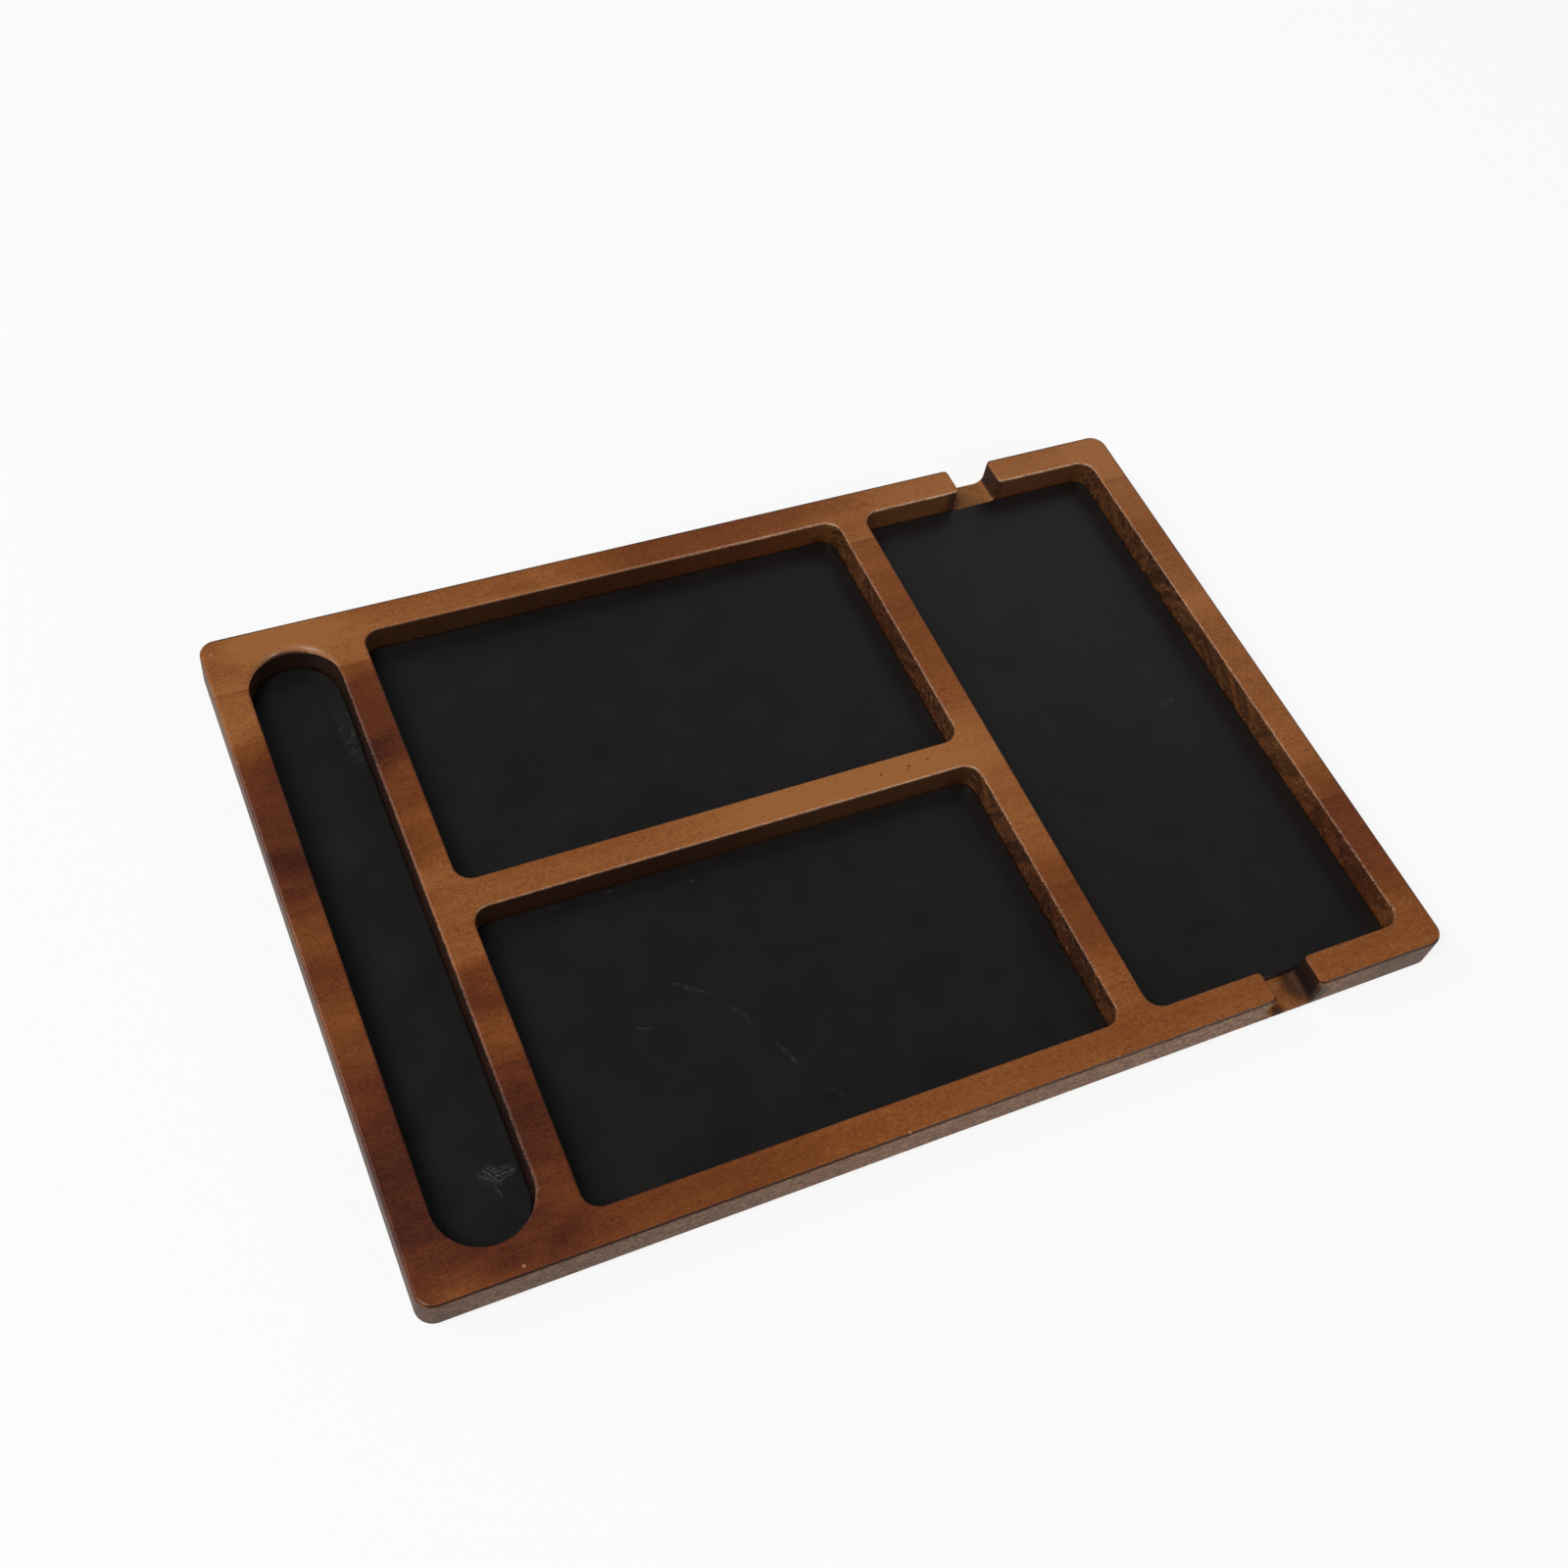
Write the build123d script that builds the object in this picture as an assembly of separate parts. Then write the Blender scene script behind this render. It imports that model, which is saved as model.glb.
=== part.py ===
from build123d import *
import os

# Valet tray: seven edge-glued hardwood staves, milled with four pockets and two
# cable notches, and a leather liner glued to the floor of each pocket.
# Millimetres. The origin is the centre of the underside. X runs along the long
# side with the pen slot at low X, Y runs from the front to the back, Z is up.

# Board
board_length = 370.0
board_width = 254.0
board_thickness = 15.0
floor_thickness = 3.5
board_corner_radius = 6.0

# Staves, glued edge to edge, with a narrower one at the front and at the back
edge_stave_width = 24.5
full_stave_count = 5

# Pockets
rail_width = 12.0
divider_width = 11.8
pen_slot_width = 31.6
middle_pocket_length = 187.4
pocket_corner_radius = 6.0

# Cable notches through the front and back rails, into the large pocket
notch_width = 18.0
notch_shift = 0.8
notch_inner_radius = 2.0
notch_rim_radius = 2.0
notch_cove_radius = 3.0

# Sanded top edges, and the flat bevel round the underside
top_edge_radius = 1.2
bottom_edge_bevel = 1.2

# Finger scoop: the pen slot's far end is rounded over more than the other edges. Its bore is narrower
# than the slot and stops just short of the slot's end.
scoop_radius = 3.4
scoop_inner_radius = 14.0
scoop_setback = 0.1

# Leather liners, and the open gap all round each one
liner_thickness = 1.2
liner_gap = 0.6

# How near a corner or an edge lies to the place that picks it out
pick_reach = 0.1

# How far a cutter runs past the face that it leaves by
cut_overrun = 5.0

# Places worked out from the sizes above
board_left = -board_length / 2
board_front = -board_width / 2
pocket_depth = board_thickness - floor_thickness
pocket_span = board_width - 2 * rail_width
middle_pocket_width = (pocket_span - divider_width) / 2
pen_slot_left = board_left + rail_width
middle_pocket_left = pen_slot_left + pen_slot_width + divider_width
large_pocket_left = middle_pocket_left + middle_pocket_length + divider_width
large_pocket_length = board_length / 2 - rail_width - large_pocket_left
pen_slot_x = pen_slot_left + pen_slot_width / 2
middle_pocket_x = middle_pocket_left + middle_pocket_length / 2
middle_pocket_y = (middle_pocket_width + divider_width) / 2
large_pocket_x = large_pocket_left + large_pocket_length / 2
notch_x = large_pocket_x + notch_shift
stave_width = (board_width - 2 * edge_stave_width) / full_stave_count

# A rounded edge takes at most this share of the wall that it is on
rounding_share = 0.9
rim_radius = min(notch_rim_radius, rounding_share * (floor_thickness - bottom_edge_bevel))
crest_radius = min(top_edge_radius, rounding_share * min(rim_radius, notch_inner_radius))
scoop_height = min(scoop_radius, rounding_share * rail_width, rounding_share * pocket_depth)
scoop_bore = min(scoop_inner_radius, rounding_share * pen_slot_width / 2)


def pen_slot_outline(gap):
    """The round-ended slot, drawn in by gap on every side."""
    slot = SlotOverall(pocket_span - 2 * gap, pen_slot_width - 2 * gap, rotation=90)
    return Pos(pen_slot_x, 0, 0) * slot


def pocket_outline(centre_x, centre_y, length, width, gap):
    """A pocket with rounded corners, drawn in by gap on every side."""
    corner = pocket_corner_radius - gap
    return Pos(centre_x, centre_y, 0) * RectangleRounded(length - 2 * gap, width - 2 * gap, corner)


def middle_pocket_outline(side, gap):
    """One of the two middle pockets: side is -1 for the front one, 1 for the back one."""
    return pocket_outline(
        middle_pocket_x, side * middle_pocket_y, middle_pocket_length, middle_pocket_width, gap
    )


def large_pocket_outline(gap):
    """The pocket at the right, which runs from the front rail to the back rail."""
    return pocket_outline(large_pocket_x, 0, large_pocket_length, pocket_span, gap)


def notched_pocket_outline():
    """The large pocket joined to both notches, with the corners between them rounded."""
    channel = Pos(notch_x, 0, 0) * Rectangle(notch_width, board_width + 2 * cut_overrun)
    joined = large_pocket_outline(0) + channel
    mouth_half = notch_width / 2
    mouths = [
        v
        for v in joined.vertices()
        if abs(abs(v.X - notch_x) - mouth_half) < pick_reach
        and abs(abs(v.Y) - pocket_span / 2) < pick_reach
    ]
    return fillet(mouths, notch_inner_radius)


def cutter(outline):
    """The space above an outline, from the pocket floor to past the top of the board."""
    return Pos(0, 0, floor_thickness) * extrude(outline, pocket_depth + cut_overrun)


def notch_cutter():
    """Both notches and the pocket between them, with a cove at the foot of every wall."""
    space = cutter(notched_pocket_outline())
    return fillet(space.edges().group_by(Axis.Z)[0], notch_cove_radius)


def scoop_cutter():
    """The finger scoop: a roundover turned about an upright axis, which runs out at the slot's sides."""
    foot = (scoop_bore, board_thickness - scoop_height)
    crest = (scoop_bore + scoop_height, board_thickness)
    over_crest = (scoop_bore + scoop_height, board_thickness + cut_overrun)
    over_foot = (scoop_bore, board_thickness + cut_overrun)
    sides = Polyline(crest, over_crest, over_foot, foot)
    roundover = RadiusArc(foot, crest, scoop_height)
    ring = revolve(Plane.XZ * make_face(sides + roundover), Axis.Z)
    return Pos(pen_slot_x, pocket_span / 2 - scoop_setback - scoop_bore, 0) * ring


def on_notch_rim(edge):
    """Whether an edge of the board runs round the outer end of a notch."""
    middle = edge.center()
    box = edge.bounding_box()
    at_side = abs(abs(middle.Y) - board_width / 2) < pick_reach
    beside_notch = abs(middle.X - notch_x) < notch_width / 2 + pick_reach
    above_floor = box.min.Z > floor_thickness - pick_reach
    below_top = box.min.Z < board_thickness - pick_reach
    return at_side and beside_notch and above_floor and below_top


def milled_board():
    """The glued board in one piece, with its pockets, notches and eased edges."""
    outline = RectangleRounded(board_length, board_width, board_corner_radius)
    board = extrude(outline, board_thickness)
    board -= cutter(pen_slot_outline(0))
    board -= cutter(middle_pocket_outline(-1, 0))
    board -= cutter(middle_pocket_outline(1, 0))
    board -= notch_cutter()
    board -= cutter(large_pocket_outline(0))
    board = fillet([e for e in board.edges() if on_notch_rim(e)], rim_radius)
    board = fillet(board.edges().group_by(Axis.Z)[-1], crest_radius)
    board = chamfer(board.edges().group_by(Axis.Z)[0], bottom_edge_bevel)
    return board - scoop_cutter()


def stave_bounds():
    """The front and back of each stave, from the front of the board to its back."""
    joints = [
        board_front + edge_stave_width + index * stave_width
        for index in range(full_stave_count + 1)
    ]
    return list(zip([board_front] + joints, joints + [-board_front]))


def stave(board, front, back):
    """The length of board between two glue lines."""
    slab = Pos(0, (front + back) / 2, board_thickness / 2) * Box(
        board_length + 2 * cut_overrun, back - front, board_thickness + 2 * cut_overrun
    )
    return board & slab


def liner(outline):
    """A sheet of leather lying on the floor of its pocket."""
    return Pos(0, 0, floor_thickness) * extrude(outline, liner_thickness)


def stave_names():
    """The staves' names, from the front to the back."""
    full = [f"board_stave_{index + 2}" for index in range(full_stave_count)]
    return ["front_edge_stave"] + full + ["back_edge_stave"]


def build():
    """Every piece of the tray by name."""
    board = milled_board()
    pieces = {
        name: stave(board, front, back)
        for name, (front, back) in zip(stave_names(), stave_bounds())
    }
    pieces["pen_slot_liner"] = liner(pen_slot_outline(liner_gap))
    pieces["front_pocket_liner"] = liner(middle_pocket_outline(-1, liner_gap))
    pieces["back_pocket_liner"] = liner(middle_pocket_outline(1, liner_gap))
    pieces["large_pocket_liner"] = liner(large_pocket_outline(liner_gap))
    return pieces


os.makedirs("parts", exist_ok=True)
for name, piece in build().items():
    export_step(piece, f"parts/{name}.step")
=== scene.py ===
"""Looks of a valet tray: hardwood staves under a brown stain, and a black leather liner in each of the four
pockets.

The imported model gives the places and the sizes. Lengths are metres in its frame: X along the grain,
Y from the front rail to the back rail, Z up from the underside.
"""

import logging
import math
from dataclasses import dataclass, field
from enum import Enum
from typing import Iterable, Union

import bpy
import numpy as np
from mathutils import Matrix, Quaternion, Vector


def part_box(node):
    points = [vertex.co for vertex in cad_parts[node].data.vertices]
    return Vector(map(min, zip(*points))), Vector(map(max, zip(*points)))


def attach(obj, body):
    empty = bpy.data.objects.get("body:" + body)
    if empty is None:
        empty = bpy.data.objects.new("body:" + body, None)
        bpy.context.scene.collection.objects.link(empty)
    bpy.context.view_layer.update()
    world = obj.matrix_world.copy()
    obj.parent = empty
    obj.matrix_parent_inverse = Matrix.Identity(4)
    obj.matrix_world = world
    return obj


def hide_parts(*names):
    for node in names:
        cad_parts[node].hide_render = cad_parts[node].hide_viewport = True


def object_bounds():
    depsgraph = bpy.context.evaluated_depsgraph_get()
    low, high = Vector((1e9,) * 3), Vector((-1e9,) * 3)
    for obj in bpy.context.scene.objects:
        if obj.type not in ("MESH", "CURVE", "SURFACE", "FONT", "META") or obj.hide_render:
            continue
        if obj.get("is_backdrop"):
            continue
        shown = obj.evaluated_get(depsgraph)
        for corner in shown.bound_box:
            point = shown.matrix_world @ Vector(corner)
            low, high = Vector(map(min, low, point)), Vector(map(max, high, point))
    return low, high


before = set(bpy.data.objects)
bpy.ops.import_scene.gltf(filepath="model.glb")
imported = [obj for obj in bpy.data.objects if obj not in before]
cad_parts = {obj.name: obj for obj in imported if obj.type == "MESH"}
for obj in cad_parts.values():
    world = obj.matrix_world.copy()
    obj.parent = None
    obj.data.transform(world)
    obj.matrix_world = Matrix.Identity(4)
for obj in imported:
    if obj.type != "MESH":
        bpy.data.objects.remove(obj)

log = logging.getLogger("valet_tray")

MM = 0.001
BODY = "root"
FINISH_IOR = 1.5
WHITE = (1.0, 1.0, 1.0, 1.0)
ORIGIN = (0.0, 0.0, 0.0)

# The sockets of a Mix node that blends colours: the share, the two colours and the blend
MIX_SHARE, MIX_FIRST, MIX_SECOND, MIX_RESULT = 0, 6, 7, 2

# The stretch about its mean in which most of a noise lies
NOISE_MIDDLE = (0.40, 0.60)

# A place in plan, and a stretch from where something is 0 to where it is full
Plan = tuple[float, float]
Span = tuple[float, float]

Number = Union[int, float]
Colour = tuple[float, float, float, float]
Point = tuple[float, float, float]


class Signal:
    """One output of a shader node. Arithmetic on it adds Math nodes."""

    def __init__(self, bench: "ShaderBench", socket: bpy.types.NodeSocket) -> None:
        """Keep the socket and the bench that its node stands on."""
        self.bench = bench
        self.socket = socket

    def maths(self, operation: str, *others: Union["Signal", Number]) -> "Signal":
        """Add one Math node.

        Args:
            operation: the Math node's operation.
            others: its second and third values.

        Returns:
            The node's result.
        """
        values = dict(enumerate((self, *others)))
        return self.bench.node("ShaderNodeMath", {"operation": operation}, values)

    def __add__(self, other: Union["Signal", Number]) -> "Signal":
        """This plus other."""
        return self.maths("ADD", other)

    __radd__ = __add__

    def __sub__(self, other: Union["Signal", Number]) -> "Signal":
        """This less other."""
        return self.maths("SUBTRACT", other)

    def __rsub__(self, other: Number) -> "Signal":
        """Other less this."""
        return self.maths("MULTIPLY_ADD", -1.0, other)

    def __mul__(self, other: Union["Signal", Number]) -> "Signal":
        """This times other."""
        return self.maths("MULTIPLY", other)

    __rmul__ = __mul__

    def __truediv__(self, other: Union["Signal", Number]) -> "Signal":
        """This divided by other."""
        return self.maths("DIVIDE", other)

    def __pow__(self, other: Number) -> "Signal":
        """This raised to a power."""
        return self.maths("POWER", other)

    def __abs__(self) -> "Signal":
        """This without its sign."""
        return self.maths("ABSOLUTE")

    def at_most(self, other: Union["Signal", Number]) -> "Signal":
        """The smaller of this and other."""
        return self.maths("MINIMUM", other)

    def at_least(self, other: Union["Signal", Number]) -> "Signal":
        """The larger of this and other."""
        return self.maths("MAXIMUM", other)

    def rise(self, low: Number, high: Number) -> "Signal":
        """A smooth step from 0 to 1.

        Args:
            low: the value at which it leaves 0.
            high: the value at which it reaches 1, which may be below low for a fall.

        Returns:
            The step.
        """
        settings = {"interpolation_type": "SMOOTHSTEP"}
        sockets = {"Value": self, "From Min": low, "From Max": high, "To Min": 0.0, "To Max": 1.0}
        if high < low:
            sockets.update({"From Min": high, "From Max": low, "To Min": 1.0, "To Max": 0.0})
        return self.bench.node("ShaderNodeMapRange", settings, sockets)

    def within(self, rise: Span, fall: Span) -> "Signal":
        """A hump: a smooth step up over one stretch, times a smooth step down over another."""
        return self.rise(*rise) * self.rise(*fall)

    def about_zero(self) -> "Signal":
        """Noise about 0.5, moved to lie about 0."""
        return self - 0.5


Value = Union[Signal, Number, tuple]


class ShaderBench:
    """The node tree of one material or of the world, and the few ways in which nodes are added to it."""

    def __init__(self, owner: Union[bpy.types.Material, bpy.types.World]) -> None:
        """Start an empty tree.

        Args:
            owner: the material or world that holds the tree.
        """
        owner.use_nodes = True
        self.owner = owner
        self.tree = owner.node_tree
        self.tree.nodes.clear()

    def node(self, kind: str, settings: dict, sockets: dict, output: Union[int, str] = 0) -> Signal:
        """Add any node.

        Args:
            kind: the node's type.
            settings: its own settings, set first; stops holds the (place, colour) pairs of a ramp.
            sockets: values or links for its inputs, by name or by number.
            output: the output to hand back.

        Returns:
            That output.
        """
        made = self.tree.nodes.new(kind)
        for name, value in settings.items():
            if name == "stops":
                self._set_stops(made.color_ramp, value)
            else:
                setattr(made, name, value)
        for name, value in sockets.items():
            if isinstance(value, Signal):
                self.tree.links.new(value.socket, made.inputs[name])
            else:
                made.inputs[name].default_value = value
        return Signal(self, made.outputs[output])

    @staticmethod
    def _set_stops(ramp: bpy.types.ColorRamp, stops: Iterable[tuple[float, Colour]]) -> None:
        """Give a ramp its stops.

        Args:
            ramp: the ramp, which starts with two stops.
            stops: each stop's place and colour, in rising order.
        """
        for index, (place, colour) in enumerate(stops):
            stop = ramp.elements[index] if index < 2 else ramp.elements.new(place)
            stop.position = place
            stop.color = colour

    def place(self) -> Signal:
        """The point being shaded, in metres in the row frame."""
        return self.node("ShaderNodeTexCoord", {}, {}, "Object")

    def facing(self) -> Signal:
        """The direction that the surface faces, in the row frame."""
        return self.node("ShaderNodeTexCoord", {}, {}, "Normal")

    def parts(self, vector: Signal) -> tuple[Signal, Signal, Signal]:
        """The parts of a vector.

        Args:
            vector: the vector.

        Returns:
            Its X, its Y and its Z.
        """
        first = self.node("ShaderNodeSeparateXYZ", {}, {0: vector})
        outputs = first.socket.node.outputs
        return first, Signal(self, outputs[1]), Signal(self, outputs[2])

    def vector(self, x: Value, y: Value, z: Value) -> Signal:
        """A vector from its three parts."""
        return self.node("ShaderNodeCombineXYZ", {}, {0: x, 1: y, 2: z})

    def local(
        self, place: Signal, centre: Point, turn: float = 0.0, size: Point = (1.0, 1.0, 1.0)
    ) -> Signal:
        """A place seen from a centre, turned about Z, and measured in sizes.

        Args:
            place: the point being shaded.
            centre: the new origin.
            turn: how far the new X axis is turned from the old one, in radians.
            size: the length of one unit along each new axis.

        Returns:
            The place in the new axes.
        """
        sockets = {"Vector": place, "Location": centre, "Rotation": (0.0, 0.0, turn), "Scale": size}
        return self.node("ShaderNodeMapping", {"vector_type": "TEXTURE"}, sockets)

    def scaled(self, place: Signal, size: Point, turn: float = 0.0) -> Signal:
        """A place turned about Z and measured in sizes."""
        return self.local(place, ORIGIN, turn, size)

    def length(self, vector: Signal) -> Signal:
        """The length of a vector."""
        return self.node("ShaderNodeVectorMath", {"operation": "LENGTH"}, {0: vector}, "Value")

    def noise(self, place: Signal, detail: float = 2.0, roughness: float = 0.5) -> Signal:
        """Soft noise about 0.5 with features one unit apart."""
        sockets = {"Vector": place, "Scale": 1.0, "Detail": detail, "Roughness": roughness}
        return self.node("ShaderNodeTexNoise", {"noise_dimensions": "3D"}, sockets)

    def cells(self, place: Signal, feature: str = "F1", output: str = "Distance") -> Signal:
        """Voronoi cells one unit apart.

        Args:
            place: the point in units of a cell.
            feature: what is measured, F1 or DISTANCE_TO_EDGE.
            output: Distance, or Color for a random colour of each cell.

        Returns:
            The distance or the colour.
        """
        settings = {"voronoi_dimensions": "3D", "feature": feature}
        return self.node("ShaderNodeTexVoronoi", settings, {"Vector": place, "Scale": 1.0}, output)

    def blend(self, share: Value, first: Value, second: Value) -> Signal:
        """Two colours blended.

        Args:
            share: how much of the second there is.
            first: the colour at 0.
            second: the colour at 1.

        Returns:
            The blend.
        """
        settings = {"data_type": "RGBA", "blend_type": "MIX", "clamp_factor": True}
        sockets = {MIX_SHARE: share, MIX_FIRST: first, MIX_SECOND: second}
        return self.node("ShaderNodeMix", settings, sockets, MIX_RESULT)

    def relief(self, height: Signal, depth: float, strength: float) -> Signal:
        """A bumped normal.

        Args:
            height: the height of the relief, from 0 to 1.
            depth: what a height of 1 stands for, in metres.
            strength: how much of the bump shows.

        Returns:
            The normal.
        """
        sockets = {"Height": height, "Distance": depth, "Strength": strength}
        return self.node("ShaderNodeBump", {}, sockets)

    def finish(self, sockets: dict) -> None:
        """Close a material with a Principled shader.

        Args:
            sockets: values or links for the shader's inputs.
        """
        shader = self.node("ShaderNodeBsdfPrincipled", {}, sockets)
        self.node_to_output("ShaderNodeOutputMaterial", shader)

    def node_to_output(self, kind: str, surface: Signal) -> None:
        """Send a shader to the tree's output node."""
        made = self.tree.nodes.new(kind)
        self.tree.links.new(surface.socket, made.inputs["Surface"])


def new_bench(name: str) -> ShaderBench:
    """A shader bench on a new material of that name."""
    return ShaderBench(bpy.data.materials.new(name))


class Tone(Enum):
    """The wood's linear colours: the stain from dark to pale, what wearing, sawing and dust make of it, and
    the colours that paint shade and highlights.
    """

    HEARTWOOD = (0.050, 0.0098, 0.0046, 1.0)
    RUSSET = (0.120, 0.0290, 0.0075, 1.0)
    CHESTNUT = (0.200, 0.0580, 0.0130, 1.0)
    HONEY = (0.318, 0.1200, 0.0340, 1.0)
    # the pores' colour, also laid as painted shade on the outer faces
    PORE_AND_SHADE = (0.026, 0.0070, 0.0040, 1.0)
    # dark stain of the routed walls and torn pits, also laid as painted shade on the walls, the outer rims,
    # the floor gaps and the near notch
    DARK_STAIN_AND_SHADE = (0.012, 0.0040, 0.0026, 1.0)
    # pale frayed fibres of torn end grain, partly painted glints
    FRAYED_AND_GLINT = (0.290, 0.1250, 0.0470, 1.0)
    # pale worn edges and nicks; on the rounded edges it is partly a painted highlight
    WORN_AND_HIGHLIGHT = (0.440, 0.2200, 0.1200, 1.0)
    # a painted highlight line along the lower half of the rounded edges
    PAINTED_HIGHLIGHT = (0.800, 0.4900, 0.2800, 1.0)
    DUSTY = (0.150, 0.0780, 0.0350, 1.0)
    CHALKY = (0.345, 0.2100, 0.1060, 1.0)
    BARE = (0.290, 0.1500, 0.0450, 1.0)


@dataclass(frozen=True)
class Patch:
    """A soft cloud of darker stain: its centre and reach in plan, and how dark it is.

    A negative depth makes it a paler cloud. Its wavering rim lies within rim_share of its reach.
    """

    centre: Plan
    reach: Plan
    depth: float
    rim_share: float = 1.2

    def touches(self, low: float, high: float) -> bool:
        """Whether the cloud comes between two places along Y."""
        rim = self.rim_share * self.reach[1]
        return self.centre[1] - rim < high and self.centre[1] + rim > low


@dataclass(frozen=True)
class Nick:
    """A small bruise in the lacquer, or a spot of painted shadow, at a place, of a radius and of a tone.

    It is even out to core_share of its radius, and strength is how much of it shows.
    """

    place: Point
    radius: float
    tone: Tone = Tone.WORN_AND_HIGHLIGHT
    core_share: float = 0.4
    strength: float = 0.8


@dataclass(frozen=True)
class StaveCut:
    """How one stave was cut from its plank.

    tone is the share of pale stain, pith is the Y and Z of the tree's centre, and seed shifts the noise
    so that no two staves have the same grain.
    """

    node: str
    tone: float
    pith: tuple[float, float]
    seed: float
    nicks: tuple[Nick, ...] = ()


@dataclass(frozen=True)
class GrainCells:
    """The sizes of the wood's pores, flecks, fibres and blotches, along the grain and across it.

    pore_chance is the stretch of a random number over which a cell comes to hold a pore, and pore_radius
    the smallest and the largest pore's, in cells, as fleck_radius is a fleck's. ring_gap is the width of a
    growth ring, ring_waver how far the rings wander, and ring_shift parts the rings of the staves. A face
    looks outward only within rim of the board's outer sides.
    """

    pore: Point = (2.6 * MM, 0.95 * MM, 0.95 * MM)
    pore_chance: Span = (0.55, 0.95)
    pore_radius: Span = (0.12, 0.28)
    fleck: Point = (1.5 * MM, 0.60 * MM, 0.60 * MM)
    fleck_radius: Span = (0.38, 0.10)
    fibre: Point = (7.0 * MM, 0.50 * MM, 0.50 * MM)
    blotch: Point = (24.0 * MM, 12.0 * MM, 12.0 * MM)
    mottle: Point = (3.2 * MM, 1.9 * MM, 1.9 * MM)
    grit: Point = (1.15 * MM, 0.75 * MM, 0.75 * MM)
    waver: Point = (60.0 * MM, 14.0 * MM, 14.0 * MM)
    ring_gap: float = 3.2 * MM
    ring_waver: float = 6.0 * MM
    ring_shift: float = 50.0
    rim: float = 8.0 * MM


@dataclass(frozen=True)
class Facings:
    """Which points count as what, by one part of their facing, as stretches from not at all to in full.

    Those with two stretches come in over the first and go over the second. crest is by height instead.
    """

    end_grain: Span = (0.55, 0.90)
    upright: Span = (0.75, 0.35)
    outer: Span = (0.50, 0.32)
    outward: Span = (0.20, 0.60)
    sideways: Span = (0.10, 0.50)
    level: Span = (0.55, 0.95)
    edge: tuple[Span, Span] = ((0.10, 0.50), (0.99, 0.88))
    brink: tuple[Span, Span] = ((0.05, 0.25), (0.85, 0.60))
    line: tuple[Span, Span] = ((0.15, 0.40), (0.80, 0.60))
    rim: Span = (0.32, 0.52)
    below_top: Span = (0.96, 0.84)
    turned: Span = (0.05, 0.20)
    crest: Span = (11.0 * MM, 12.5 * MM)


class StaveWood:
    """One stave's wood: where a point lies and faces, the noises there, and the colour so far.

    x, y, z is the point, along, across, up is the way it faces, and off_x and off_y are its distances from
    the board's outer sides. end_grain, upright, outward, routed and outer say how far the point is on such
    a face, crest how far it is on a rounded edge or the top, and brink how far on the lower half of an edge
    towards a pocket. The rest are noises from 0 to 1.
    """

    def __init__(self, bench: ShaderBench, cells: GrainCells, facings: Facings, cut: StaveCut) -> None:
        """Lay out the noises.

        Args:
            bench: the stave's shader bench.
            cells: the sizes of the noises.
            facings: which points count as what.
            cut: how the stave was cut.
        """
        self.bench = bench
        self.colour: Value = Tone.CHESTNUT.value
        self.x, self.y, self.z = bench.parts(bench.place())
        self.along, self.across, self.up = bench.parts(bench.facing())
        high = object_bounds()[1]
        self.off_x = high.x - abs(self.x)
        self.off_y = high.y - abs(self.y)
        at_end = self.off_x.rise(cells.rim, 0.0) * self.x * self.along / high.x
        at_side = self.off_y.rise(cells.rim, 0.0) * self.y * self.across / high.y
        self.outward = (at_end + at_side).rise(*facings.outward)
        self.end_grain = abs(self.along).rise(*facings.end_grain)
        self.upright = abs(self.up).rise(*facings.upright)
        self.routed = self.upright * (1.0 - self.outward)
        self.outer = abs(self.up).rise(*facings.outer) * self.outward
        self.crest = self.z.rise(*facings.crest)
        self.brink = self.up.within(*facings.brink) * self.crest * (1.0 - self.outward)
        self.place = bench.local(bench.place(), (-cut.seed, 0.0, 0.0))
        self.flecks = bench.cells(self._scaled(cells.fleck)).rise(*cells.fleck_radius)
        self.fibres = bench.noise(self._scaled(cells.fibre), 4.0, 0.7)
        self.blotch = bench.noise(self._scaled(cells.blotch), 3.0, 0.55)
        self.mottle = bench.noise(self._scaled(cells.mottle), 3.0, 0.6)
        self.grit = bench.noise(self._scaled(cells.grit), 2.0, 0.6)
        self.pores = self._open_pores(cells)
        self.rings = self._growth_rings(cells, cut)

    def paint(self, share: Signal, tone: Tone) -> None:
        """Lay a share of a tone over the colour so far."""
        self.colour = self.bench.blend(share, self.colour, tone.value)

    def _scaled(self, size: Point) -> Signal:
        """The point measured in cells of a size."""
        return self.bench.scaled(self.place, size)

    def _open_pores(self, cells: GrainCells) -> Signal:
        """Open pores: stretched cells, each a short dash along the grain and a dot across it.

        Args:
            cells: the sizes of the noises.

        Returns:
            1 in a pore and 0 outside, with a soft rim.
        """
        closed, soft_rim = 0.02, 0.08
        smallest, largest = cells.pore_radius
        cell = self._scaled(cells.pore)
        chance, size, _ = self.bench.parts(self.bench.cells(cell, output="Color"))
        radius = closed + chance.rise(*cells.pore_chance) * (smallest + size * (largest - smallest))
        return ((radius - self.bench.cells(cell)) / soft_rim).at_least(0.0).at_most(1.0)

    def _growth_rings(self, cells: GrainCells, cut: StaveCut) -> Signal:
        """Growth rings: noise read along the distance from the pith, which wavers along the stave.

        Args:
            cells: the sizes of the noises.
            cut: how the stave was cut.

        Returns:
            The rings' tone, about 0.5.
        """
        waver = self.bench.noise(self._scaled(cells.waver), 2.0)
        across = self.y - cut.pith[0]
        above = self.z - cut.pith[1]
        radius = (across * across + above * above) ** 0.5 + waver.about_zero() * cells.ring_waver
        ring = self.bench.vector(radius / cells.ring_gap, cut.seed * cells.ring_shift, 0.0)
        return self.bench.noise(ring, 3.0, 0.62)


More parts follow.
